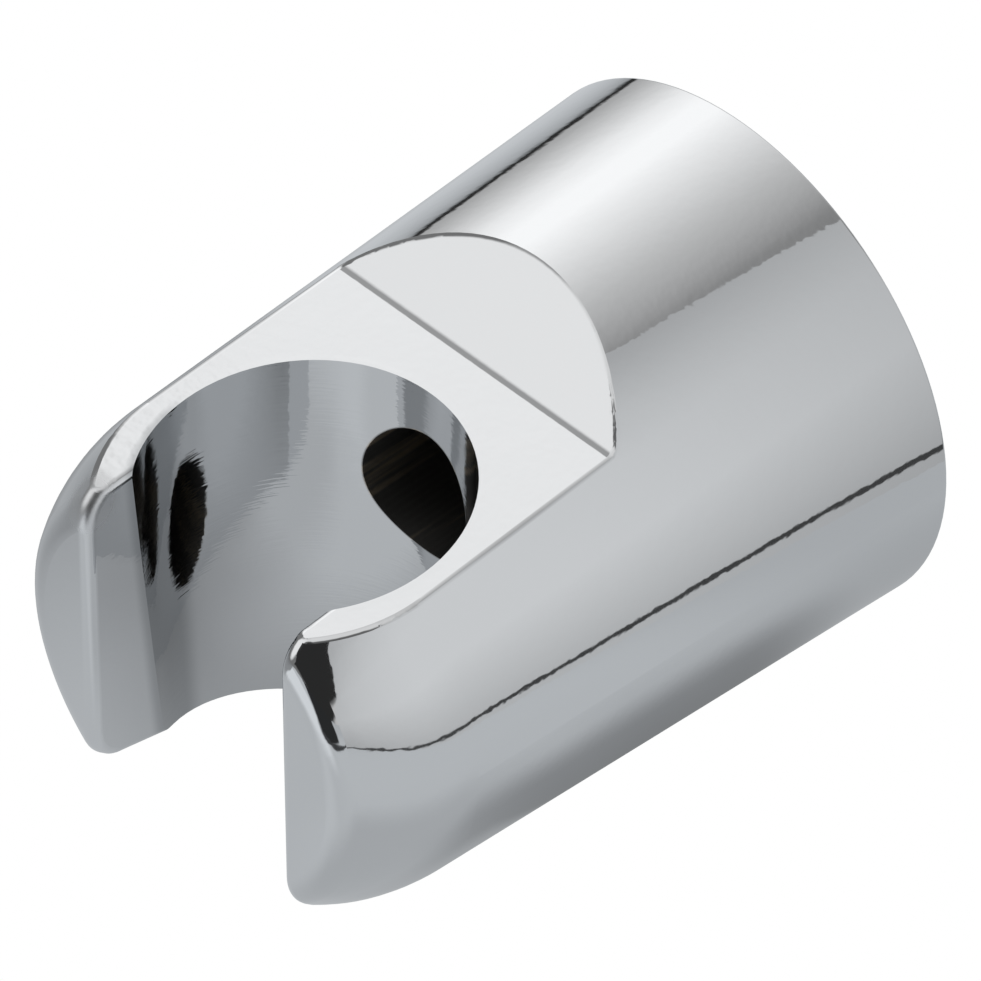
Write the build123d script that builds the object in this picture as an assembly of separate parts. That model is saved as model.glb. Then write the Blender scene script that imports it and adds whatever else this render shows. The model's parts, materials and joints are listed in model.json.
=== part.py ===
from build123d import *
from math import cos, hypot, radians, sin, sqrt, tan
import os

# Hand shower holder: a tapered round body that is screwed to the wall, with a conical socket for the
# end of a hand shower and a slot in front for its hose. One moulding, chrome plated all over.
# Millimetres. The wall is the plane y = 0 and the body reaches out from it towards -Y. +Z is up.
# The origin is the centre of the wall face. A reach is a distance from the wall, along -Y.

# Socket: a cone that narrows downwards, with the narrowest land beside its mouth and the land behind it
socket_reach = 42.2
mouth_radius = 12.1
socket_taper = 2.7
side_land = 1.74
back_land = 4.6

# Hose slot: how much it narrows the socket on each side, and how far it runs on to the front
slot_lip = 2.5
lip_length = 4.3

# Top face, which falls a little towards the front, and the half-moon facet that rises behind it
crease_height = 14.6
top_fall = 3.9
facet_slope = 44.0

# Underside of the cradle, measured up from the round body below the socket, and its rise to the front
underside_lift = 4.3
underside_rise = 12.4

# Outside: the draft of the body, then a rounded nose
body_draft = 2.3
nose_length = 9.8
nose_radius = 16.8

# Two fixing screws, one above the other: a wide hole for the head and the driver, then a narrow one for
# the shank. The lower hole leaves a land above the underside, at the back of the socket.
upper_screw_height = 5.0
lower_screw_land = 1.5
driver_hole_radius = 5.25
shank_hole_radius = 2.6
screw_seat = 4.0

# Hollow back, open to the wall: shell, screw bosses and ribs
shell_wall = 2.8
socket_back_wall = 3.2
boss_wall = 2.4
rib_thickness = 1.8
rib_recess = 1.2

# Rounded edges
slot_edge_radius = 0.9
rim_radius = 0.6
crease_radius = 1.5
nose_edge_radius = 2.6
wall_edge_radius = 0.2

# How far a cut runs past the body, so that it leaves it cleanly
overcut = 10.0

# Lengths along the body
crease_reach = socket_reach - mouth_radius - back_land
pocket_reach = socket_reach - mouth_radius - socket_back_wall
slot_width = 2 * (mouth_radius - slot_lip)
body_reach = socket_reach + sqrt(mouth_radius**2 - (slot_width / 2) ** 2) + lip_length
nose_start = body_reach - nose_length

# Heights, and the round body that leaves the land beside the mouth
mouth_height = crease_height - (socket_reach - crease_reach) * tan(radians(top_fall))
cradle_radius = hypot(mouth_radius + side_land, mouth_height)
wall_radius = cradle_radius + socket_reach * tan(radians(body_draft))
socket_floor = underside_lift - cradle_radius
underside_at_back = socket_floor - mouth_radius * tan(radians(underside_rise))
lower_screw_height = underside_at_back + lower_screw_land + driver_hole_radius
screw_heights = (upper_screw_height, lower_screw_height)


def body_radius(reach):
    """Radius of the taper at a distance from the wall."""
    return wall_radius - reach * tan(radians(body_draft))


def round_body():
    """The body before its cuts, turned about the Y axis."""
    shoulder = body_radius(nose_start)
    centre_reach = nose_start - nose_radius * sin(radians(body_draft))
    centre_radius = shoulder - nose_radius * cos(radians(body_draft))
    flat_radius = centre_radius + sqrt(nose_radius**2 - (body_reach - centre_reach) ** 2)
    nose_edge = (flat_radius, -body_reach)
    wall_edge = (wall_radius, 0)
    with BuildSketch() as half:
        with BuildLine():
            taper = Line(wall_edge, (shoulder, -nose_start))
            RadiusArc(taper @ 1, nose_edge, nose_radius)
            Polyline(nose_edge, (0, -body_reach), (0, 0), wall_edge)
        make_face()
        fillet(half.vertices().sort_by_distance(nose_edge)[0], nose_edge_radius)
        fillet(half.vertices().sort_by_distance(wall_edge)[0], wall_edge_radius)
    return revolve(half.sketch, Axis.Y)


def across(outline):
    """A side outline in the YZ plane, carried right across the body."""
    return extrude(outline, 2 * wall_radius, both=True)


def above_top():
    """Side outline of all that lies above the top face and the half-moon facet."""
    front = body_reach + overcut
    ceiling = wall_radius + overcut
    crease = (-crease_reach, crease_height)
    facet_end = -crease_reach + (ceiling - crease_height) / tan(radians(facet_slope))
    with BuildSketch(Plane.YZ) as outline:
        with BuildLine():
            Polyline(
                crease,
                (-front, crease_height - (front - crease_reach) * tan(radians(top_fall))),
                (-front, ceiling),
                (facet_end, ceiling),
                close=True,
            )
        make_face()
        fillet(outline.vertices().sort_by_distance((0, *crease))[0], crease_radius)
    return outline.sketch


def below_underside():
    """Side outline of all that lies below the underside of the cradle."""
    front = body_reach + overcut
    floor = -wall_radius - overcut
    rise = tan(radians(underside_rise))
    with BuildSketch(Plane.YZ) as outline:
        with BuildLine():
            Polyline(
                (-front, socket_floor + (front - socket_reach) * rise),
                (overcut, socket_floor - (overcut + socket_reach) * rise),
                (overcut, floor - (overcut + socket_reach) * rise),
                (-front, floor - (overcut + socket_reach) * rise),
                close=True,
            )
        make_face()
    return outline.sketch


def hose_slot():
    """Slot through the full height of the nose. Its round inner end lies inside the socket."""
    length = body_reach + overcut - socket_reach
    outline = Pos(0, -socket_reach - length / 2) * Rectangle(slot_width, length)
    outline += Pos(0, -socket_reach) * Circle(slot_width / 2)
    return extrude(outline, 2 * wall_radius, both=True)


def socket():
    """Conical seat for the shower, wider at its mouth."""
    slope = tan(radians(socket_taper))
    top = wall_radius + overcut
    bottom = -wall_radius - overcut
    cone = Cone(
        mouth_radius + (bottom - mouth_height) * slope,
        mouth_radius + (top - mouth_height) * slope,
        top - bottom,
    )
    return Pos(0, -socket_reach, 0) * cone


def along_screws(radius, near, far):
    """A cylinder on the line of each screw, between two distances from the wall."""
    middle = -(near + far) / 2
    return [
        Pos(0, middle, height) * Rot(90, 0, 0) * Cylinder(radius, far - near)
        for height in screw_heights
    ]


def upright_block(width, near, bottom, top):
    """A block across the middle plane, from a distance off the wall to the end of the pockets."""
    place = Pos(0, -(near + pocket_reach) / 2, (bottom + top) / 2)
    return place * Box(width, pocket_reach - near, top - bottom)


def rear_pockets():
    """Hollow between the shell, the screw bosses and the ribs, open to the wall. The lower boss stands
    on a foot, an upright rib rises from the upper one, and a level rib crosses between them."""
    with BuildSketch() as half:
        with BuildLine():
            Polyline(
                (0, overcut),
                (wall_radius - shell_wall, overcut),
                (wall_radius - shell_wall, 0),
                (body_radius(pocket_reach) - shell_wall, -pocket_reach),
                (0, -pocket_reach),
                close=True,
            )
        make_face()
    hollow = revolve(half.sketch, Axis.Y)
    hollow -= across(offset(above_top(), shell_wall))
    hollow -= across(offset(below_underside(), shell_wall))
    hollow -= along_screws(driver_hole_radius + boss_wall, -2 * overcut, pocket_reach)
    hollow -= upright_block(2 * driver_hole_radius, -2 * overcut, -wall_radius, lower_screw_height)
    hollow -= upright_block(rib_thickness, rib_recess, upper_screw_height, wall_radius)
    between = sum(screw_heights) / 2
    half_rib = rib_thickness / 2
    hollow -= upright_block(2 * wall_radius, rib_recess, between - half_rib, between + half_rib)
    return hollow


def rounded_cut(blank, cut, radius):
    """The blank less one cut, with the new edges rounded."""
    shaped = blank - cut
    return fillet(new_edges(blank, cut, combined=shaped), radius)


def rounded_top(blank):
    """The blank less all above its top. The crease stays as it is, and only the rim around it is rounded."""
    shaped = blank - across(above_top())
    rim = new_edges(blank, across(above_top()), combined=shaped).filter_by(Axis.X, reverse=True)
    return fillet(rim, rim_radius)


def holder_body():
    """The whole moulding. The socket is cut after the rounding, so its mouth stays crisp."""
    body = rounded_cut(round_body(), hose_slot(), slot_edge_radius)
    body = rounded_top(body)
    body = rounded_cut(body, across(below_underside()), rim_radius)
    body -= socket()
    body -= rear_pockets()
    body -= along_screws(driver_hole_radius, screw_seat, socket_reach)
    body -= along_screws(shank_hole_radius, -overcut, socket_reach)
    return body


os.makedirs("parts", exist_ok=True)
export_step(holder_body(), "parts/holder_body.step")
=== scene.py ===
import bmesh
import bpy
import json
from math import cos, radians, sin
from mathutils import Matrix, Vector


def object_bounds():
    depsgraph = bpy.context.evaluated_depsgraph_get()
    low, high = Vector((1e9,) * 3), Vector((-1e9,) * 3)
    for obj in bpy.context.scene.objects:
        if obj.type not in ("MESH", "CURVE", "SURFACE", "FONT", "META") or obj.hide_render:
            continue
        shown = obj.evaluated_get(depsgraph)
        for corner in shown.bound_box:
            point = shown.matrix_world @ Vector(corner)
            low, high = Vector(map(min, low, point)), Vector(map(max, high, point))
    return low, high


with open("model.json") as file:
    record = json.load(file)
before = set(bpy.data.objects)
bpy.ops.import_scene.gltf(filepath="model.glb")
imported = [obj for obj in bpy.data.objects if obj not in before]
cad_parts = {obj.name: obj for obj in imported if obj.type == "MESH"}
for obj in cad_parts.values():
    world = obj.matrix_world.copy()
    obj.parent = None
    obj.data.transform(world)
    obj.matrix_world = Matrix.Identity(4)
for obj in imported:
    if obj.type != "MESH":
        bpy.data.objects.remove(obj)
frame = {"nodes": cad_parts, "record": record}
cad_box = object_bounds()

# Holder body
# One moulding of ABS plastic, polished and plated with copper, nickel and bright chrome. The plating is
# a mirror outside, keeps fine rings in the socket, and hardly reaches into the deep screw wells.


class Wire:
    """A shader socket that takes part in sums, and that can make further nodes in its own tree."""

    def __init__(self, tree, socket=None):
        self.tree = tree
        self.socket = socket

    def node(self, kind, settings=None, sockets=None, output=0):
        """A new node: its settings first, then the values or wires of its sockets."""
        made = self.tree.nodes.new(kind)
        for name, value in (settings or {}).items():
            setattr(made, name, value)
        for name, value in (sockets or {}).items():
            if isinstance(value, Wire):
                self.tree.links.new(value.socket, made.inputs[name])
            else:
                made.inputs[name].default_value = value
        return Wire(self.tree, made.outputs[output] if made.outputs else None)

    def maths(self, operation, *terms):
        """One Math node of that operation on these terms."""
        return self.node("ShaderNodeMath", {"operation": operation}, dict(enumerate(terms)))

    def __add__(self, other):
        return self.maths("ADD", self, other)

    __radd__ = __add__

    def __sub__(self, other):
        return self.maths("SUBTRACT", self, other)

    def __rsub__(self, other):
        return self.maths("SUBTRACT", other, self)

    def __mul__(self, other):
        return self.maths("MULTIPLY", self, other)

    __rmul__ = __mul__

    def __truediv__(self, other):
        return self.maths("DIVIDE", self, other)

    def at_least(self, other):
        """This value or the other, whichever is larger."""
        return self.maths("MAXIMUM", self, other)

    def vector_maths(self, operation, other=None):
        """The number that a Vector Math node of that operation gives for this vector, and the other."""
        vectors = {0: self} if other is None else {0: self, 1: other}
        return self.node("ShaderNodeVectorMath", {"operation": operation}, vectors, output="Value")

    def distance_with(self, other):
        """Distance from a line, where this value and the other are the two offsets across it."""
        flat = self.node("ShaderNodeCombineXYZ", {}, {"X": self, "Y": other})
        return flat.vector_maths("LENGTH")

    def slope(self, low, high, start, end):
        """A straight slope from start, where this value is low, to end, where it is high."""
        ends = {"From Min": low, "From Max": high, "To Min": start, "To Max": end}
        return self.node("ShaderNodeMapRange", {}, {"Value": self, **ends})

    def step(self, off, on):
        """A soft step from 0, where this value is off, to 1, where it is on."""
        ends = {"From Min": off, "From Max": on}
        return self.node("ShaderNodeMapRange", {"interpolation_type": "SMOOTHSTEP"}, {"Value": self, **ends})

    def band(self, start, full, fading, end):
        """1 from full to fading, with a soft step down to 0 at start and at end."""
        return self.step(start, full) * self.step(end, fading)

    def blend(self, other, mask):
        """This value, turning into the other where the mask is 1."""
        return self * (1 - mask) + other * mask

    def parts(self):
        """The x, y and z of this vector."""
        return [self.node("ShaderNodeSeparateXYZ", {}, {0: self}, output=axis) for axis in "XYZ"]

    def noise(self, scales, detail=1.0):
        """A cloudy pattern between 0 and 1, with about so many clouds in a metre of each axis."""
        point = self.node("ShaderNodeVectorMath", {"operation": "MULTIPLY"}, {0: self, 1: scales})
        return self.node("ShaderNodeTexNoise", {}, {"Vector": point, "Scale": 1.0, "Detail": detail})


plated = bpy.data.materials.new("chrome_plating")
plated.use_nodes = True
plating = plated.node_tree.nodes["Principled BSDF"]
skin_tree = Wire(plated.node_tree)
place = skin_tree.node("ShaderNodeTexCoord", output="Object")
x, y, z = place.parts()

# Where the body has its socket, its two wells and the hollow behind, in metres from the wall face's centre.
# The hollow ends below the half-moon facet, which starts at facet_y and facet_z.
mounts = {mount["name"]: mount for mount in frame["record"]["mounts"]}
socket_axis = mounts["shower_socket"]["pos_m"][1]
socket_radius = 0.0115
socket_narrowing = 0.0472
upper_well = mounts["upper_screw_well"]["pos_m"][2]
lower_well = mounts["lower_screw_well"]["pos_m"][2]
well_edge = mounts["upper_screw_well"]["dims"]["r_mm"] / 1000 + 0.00005
well_fade = 0.0001
shell_radius = 0.0183
hollow_end = -0.0272
facet_y, facet_z = -0.0255, 0.0146
facet_slope = 0.966

from_socket_axis = x.distance_with(y - socket_axis) - z * socket_narrowing
in_socket = from_socket_axis.step(socket_radius + 0.0006, socket_radius)
in_upper_well = x.distance_with(z - upper_well).step(well_edge + well_fade, well_edge - well_fade)
in_lower_well = x.distance_with(z - lower_well).step(well_edge + well_fade, well_edge - well_fade)
in_well = in_upper_well.at_least(in_lower_well) * y.step(socket_axis, socket_axis + 0.006)
in_shell = x.distance_with(z).step(shell_radius + 0.0004, shell_radius)
below_facet = (y - facet_y) * facet_slope + facet_z - z
in_hollow = in_shell * y.step(hollow_end, hollow_end + 0.001) * (1 - in_well)
in_hollow = in_hollow * below_facet.step(0.0008, 0.0014)


def coloured(mask, usual, other):
    """One colour, turning into another where the mask is 1. Either may be a wire."""
    return skin_tree.node("ShaderNodeMix", {"data_type": "RGBA"}, {0: mask, 6: usual, 7: other}, output=2)


# Colour: chrome, darker at the left front edge of the socket, and thin in the hollow and in the wells
chrome_colour = (0.691, 0.70, 0.709, 1)
edge_colour = (0.49, 0.50, 0.51, 1)
hollow_colour = (0.33, 0.33, 0.325, 1)
well_colour = (0.10, 0.094, 0.086, 1)
well_streak_colour = (0.48, 0.40, 0.29, 1)
slot_edge = in_socket * y.step(socket_axis, socket_axis - 0.002) * x.step(0.001, -0.001)
well_streaks = place.noise((900, 50, 900), 3.0).step(0.50, 0.70)
skin = coloured(slot_edge, chrome_colour, edge_colour)
skin = coloured(in_hollow, skin, hollow_colour)
skin = coloured(in_well, skin, coloured(well_streaks, well_colour, well_streak_colour))
skin_tree.tree.links.new(skin.socket, plating.inputs["Base Color"])
plating.inputs["Metallic"].default_value = 1.0

# Polish: a little cloudy, and matt on the tip of the left arm, in the wells and in the hollow
polished_roughness, cloudiness = 0.03, 0.02
tip_roughness = 0.36
well_roughness = 0.55
hollow_roughness = 0.45
left_tip = (-0.0106, -0.0531, 0.0118)
on_left_tip = place.vector_maths("DISTANCE", left_tip).step(0.0034, 0.0014)
rough = polished_roughness + place.noise((260, 260, 260)) * cloudiness
rough = rough.blend(tip_roughness, on_left_tip)
rough = rough.blend(well_roughness, in_well).blend(hollow_roughness, in_hollow)
skin_tree.tree.links.new(rough.socket, plating.inputs["Roughness"])

# The surface itself: waves left by the polishing, and fine rings around the socket
micron = 0.000001
polishing_waves = place.noise((1300, 1300, 1300)) * (5.2 * micron)
slow_waves = place.noise((300, 300, 300)) * (8.5 * micron)
rings = place.noise((260, 260, 5200)) * in_socket * (5.8 * micron)
heights = polishing_waves + slow_waves + rings
relief = skin_tree.node("ShaderNodeBump", {}, {"Strength": 1.0, "Distance": 1.0, "Height": heights})
skin_tree.tree.links.new(relief.socket, plating.inputs["Normal"])

body = frame["nodes"]["holder_body"]
body.data.materials.clear()
body.data.materials.append(plated)

# Studio
# White paper on a table, a tall white card standing close on the right, and large soft boxes above and
# behind. The camera sees only the paper, and the chrome sees the table, the card and the room.

table_height = cad_box[0][2] - 0.0002


def seen(tone):
    """Light that the chrome shows as this tone of a picture, from 0 to 255."""
    light = ((tone / 255 + 0.055) / 1.055) ** 2.4
    return light / chrome_colour[1]


def glow(name):
    """A material that only glows, and a wire to build its strength from."""
    material = bpy.data.materials.new(name)
    material.use_nodes = True
    material.node_tree.nodes.clear()
    return material, Wire(material.node_tree)


def shine(wire, strength, colour=(1, 1, 1, 1)):
    """Ends a glowing material with this strength."""
    light = wire.node("ShaderNodeEmission", {}, {"Color": colour, "Strength": strength})
    wire.node("ShaderNodeOutputMaterial", {}, {"Surface": light})


def flat_sheet(name, corners, material, in_camera):
    """A flat sheet of the set, seen either by the camera or by the chrome."""
    shape = bmesh.new()
    shape.faces.new([shape.verts.new(corner) for corner in corners])
    mesh = bpy.data.meshes.new(name)
    shape.to_mesh(mesh)
    shape.free()
    mesh.materials.append(material)
    made = bpy.data.objects.new(name, mesh)
    bpy.context.scene.collection.objects.link(made)
    made.visible_camera = in_camera
    made.visible_glossy = not in_camera
    made.visible_diffuse = not in_camera
    made.visible_shadow = False


def level_sheet(name, left, right, front, back, material, in_camera):
    """A flat sheet on the table."""
    corners = [(left, front), (right, front), (right, back), (left, back)]
    flat_sheet(name, [(a, b, table_height) for a, b in corners], material, in_camera)


paper, wire = glow("white_paper")
shine(wire, 1.0)
level_sheet("paper_floor", -3.0, 3.0, -3.0, 3.0, paper, True)

# The table as the chrome sees it. On the right it is darker far out, near the wall and beside the nose,
# and lighter in front of the slot.
table, wire = glow("table_in_chrome")
x, y, z = wire.node("ShaderNodeTexCoord", output="Object").parts()
far_right = x.step(0.080, 0.250)
near_wall = y.step(-0.014, 0.008)
before_slot = x.band(-0.004, 0.004, 0.006, 0.020) * y.step(-0.058, -0.072)
beside_nose = x.band(0.002, 0.012, 0.030, 0.045) * y.band(-0.074, -0.060, -0.036, -0.024)
strength = x.slope(0.010, 0.055, seen(174), seen(179))
strength = strength.blend(seen(168), far_right).blend(seen(168), near_wall)
strength = strength.blend(seen(181), before_slot).blend(seen(163), beside_nose)
# On the left it is darker, most of all at its far edge
table_left = -0.365
left = x.step(-0.016, -0.052)
left_front = x.slope(-0.200, -0.070, seen(136), seen(156)) * y.slope(-0.080, -0.050, 0.72, 1.0)
left_back = x.slope(table_left, -0.250, seen(68), seen(151))
left_back = left_back + x.slope(-0.250, -0.085, 0.0, seen(180) - seen(151))
strength = strength.blend(left_front, left)
strength = strength.blend(left_back, left * y.step(-0.030, 0.005))
# Towards the front it is bright
bright_front = x.band(-0.045, -0.025, 0.022, 0.040) * y.step(-0.090, -0.115)
strength = strength.blend(seen(207), bright_front)
# The holder's own shadow, short in front, long behind and lighter near the wall
shadow_x, shadow_front, shadow_back = -0.016, -0.0165, -0.022
core, reach, darkest = 0.012, 0.053, 0.28
shadow_y = ((shadow_front - y) * 1.43).at_least((y - shadow_back) * 0.5)
shadow = (x - shadow_x).distance_with(shadow_y).slope(core, reach, darkest, 1.0)
strength = strength * shadow.blend(shadow * 0.6 + 0.4, y.step(-0.012, 0.002))
# A second shadow, along the lower edge of its right side
edge_shade = 0.34
inwards = x + (y + 0.034).at_least(0)
under_edge = x.step(0.031, 0.0205) * inwards.step(0.012, 0.018) * y.band(-0.048, -0.026, -0.010, 0.003)
strength = strength * (1 - under_edge * edge_shade)
# The dark space around the camera starts on the table, in front, with a thin dark line before it
dark_front = y + x * 0.42 + 0.107
dark_left = x + (y + 0.107) * 0.22
dark_right = x + y * 0.9 + 0.036
dark_space = dark_front.step(0.004, -0.010) * dark_left.step(0.014, 0.024) * dark_right.step(0.024, 0.004)
strength = strength.blend(seen(40), dark_space)
dark_line = (y + x * 0.21 + 0.119).band(-0.010, -0.005, 0.002, 0.006) * x.band(0.020, 0.030, 0.178, 0.190)
strength = strength.blend(seen(58), dark_line)
bluish = (0.965, 1.0, 1.035, 1)
shine(wire, strength, bluish)
level_sheet("table_in_chrome", table_left, 1.0, -1.0, 0.6, table, False)

# The card on the right, its face 52 mm from the middle of the holder. It is lightest at its front end,
# darker near the wall, near its foot and near its top, and a thin dark line runs along its foot.
card_turn = radians(125.8)
card_distance = 0.0515
card_front = -0.229
card_back = 0.0098
card_lean = 0.0026
card_top = 0.145
card_normal = Vector((sin(card_turn), -cos(card_turn), 0))
card_along = Vector((-card_normal.y, card_normal.x, 0))

card, wire = glow("card_in_chrome")
x, y, z = wire.node("ShaderNodeTexCoord", output="Object").parts()
along = x * card_along.x + y * card_along.y
above_foot = z - ((along + 0.045) * 0.055 - 0.0165).at_least(-0.0195)
strength = along.slope(card_front, -0.085, seen(181), seen(200))
strength = strength.blend(seen(176), along.step(-0.050, 0.008))
strength = strength * above_foot.slope(0.001, 0.035, 0.74, 1.0) * z.slope(0.050, 0.120, 1.0, 0.84)
strength = strength.blend(seen(58), above_foot.band(-0.0017, -0.0010, 0.0007, 0.0013))
faintly_bluish = (0.985, 1.0, 1.015, 1)
shine(wire, strength, faintly_bluish)
card_outline = [
    (card_front, table_height),
    (card_back, table_height),
    (card_back - card_lean, card_top),
    (card_front, card_top),
]
card_middle = card_normal * card_distance
card_corners = [card_middle + card_along * end + Vector((0, 0, rise)) for end, rise in card_outline]
flat_sheet("card_in_chrome", card_corners, card, False)

# The room and its soft boxes, by direction: a turn from -Y towards +X, and a height above the horizon
world = bpy.data.worlds.new("studio")
world.use_nodes = True
bpy.context.scene.world = world
world.node_tree.nodes.clear()
direction = Wire(world.node_tree).node("ShaderNodeTexCoord", output="Generated")
x, y, z = direction.parts()
degree = radians(1)
turn = direction.maths("ARCTAN2", x, 0 - y) / degree
height = direction.maths("ARCSINE", z) / degree


def away_from(middle_turn, middle_height):
    """Angle from this direction of the room, in degrees."""
    a, h = radians(middle_turn), radians(middle_height)
    middle = (sin(a) * cos(h), -cos(a) * cos(h), sin(h))
    return direction.maths("ARCCOSINE", direction.vector_maths("DOT_PRODUCT", middle)) / degree


# Soft box behind on the left, which fades evenly, then the ceiling
strength = away_from(-124, 34).slope(4, 59, seen(247), seen(124)) * height.slope(0, 20, 0.72, 1.0)
strength = strength.blend(seen(206), away_from(41, 82).step(38, 14))
# Darker wall above the front, and darker still lower down
upper_wall = turn.band(-126, -121, 20, 60) * height.band(40, 46, 62, 72)
lower_wall = turn.band(-114, -107, 20, 60) * height.step(52, 44)
strength = strength.blend(seen(150), upper_wall).blend(seen(110), lower_wall)
# Soft box in front on the left, with its top edge drawn out, then the wall behind the card
front_box = away_from(-38, 34) - (height - 38).at_least(0) * 0.45
strength = strength.blend(seen(225), front_box.step(36, 20) * height.step(-10, 10))
strength = strength.blend(seen(180), turn.step(26, 34) * height.step(24, 14))
# Dark gap between the wall and the ceiling, seen in the rim of the half-moon
gap = turn.band(-8, 12, 92, 108) * height.band(48, 56, 70, 78)
strength = strength.blend(seen(95), gap)
# Dark space around the camera, and low in front of it
strength = strength.blend(seen(55), away_from(46.5, 43.4).step(27, 12))
above_slant = height - (turn - 30).at_least(0) * 1.15
low_front = (turn + height * 0.6).step(11, 17) * turn.step(72, 66) * above_slant.step(-22, -17)
strength = strength.blend(seen(40), low_front * height.step(60, 40))
# Dark floor past the left edge of the table
strength = strength.blend(seen(42), height.step(-2.2, -4.0) * turn.step(0, -40))
# The camera itself sees white
strength = strength.blend(1.0, direction.node("ShaderNodeLightPath", output="Is Camera Ray"))
sky = direction.node("ShaderNodeBackground", {}, {"Color": (1, 1, 1, 1), "Strength": strength})
direction.node("ShaderNodeOutputWorld", {}, {"Surface": sky})

# Camera
# A long lens on a stand, 1.1 m from the holder, 43 degrees above it and 47 degrees to its right, and
# rolled by half a degree, as the picture was taken.

camera_turn = radians(46.528)
camera_height = radians(43.448)
camera_roll = radians(-0.549)
camera_distance = 1.1005
aim = Vector((0, -0.0252, 0))
shift_across, shift_up = 0.000568, 0.0012816

flat_back = Vector((sin(camera_turn), -cos(camera_turn), 0))
backwards = flat_back * cos(camera_height) + Vector((0, 0, sin(camera_height)))
level = Vector((cos(camera_turn), sin(camera_turn), 0))
upright = backwards.cross(level)
across = cos(camera_roll) * level + sin(camera_roll) * upright
up = cos(camera_roll) * upright - sin(camera_roll) * level
spot = aim + backwards * camera_distance + across * shift_across + up * shift_up

lens = bpy.data.cameras.new("camera")
lens.sensor_width = 36
lens.lens = 574.88
lens.clip_end = 20
camera = bpy.data.objects.new("camera", lens)
bpy.context.scene.collection.objects.link(camera)
turned = Matrix((across, up, backwards)).transposed().to_4x4()
camera.matrix_world = Matrix.Translation(spot) @ turned
bpy.context.scene.camera = camera
bpy.context.scene.view_settings.view_transform = "Standard"
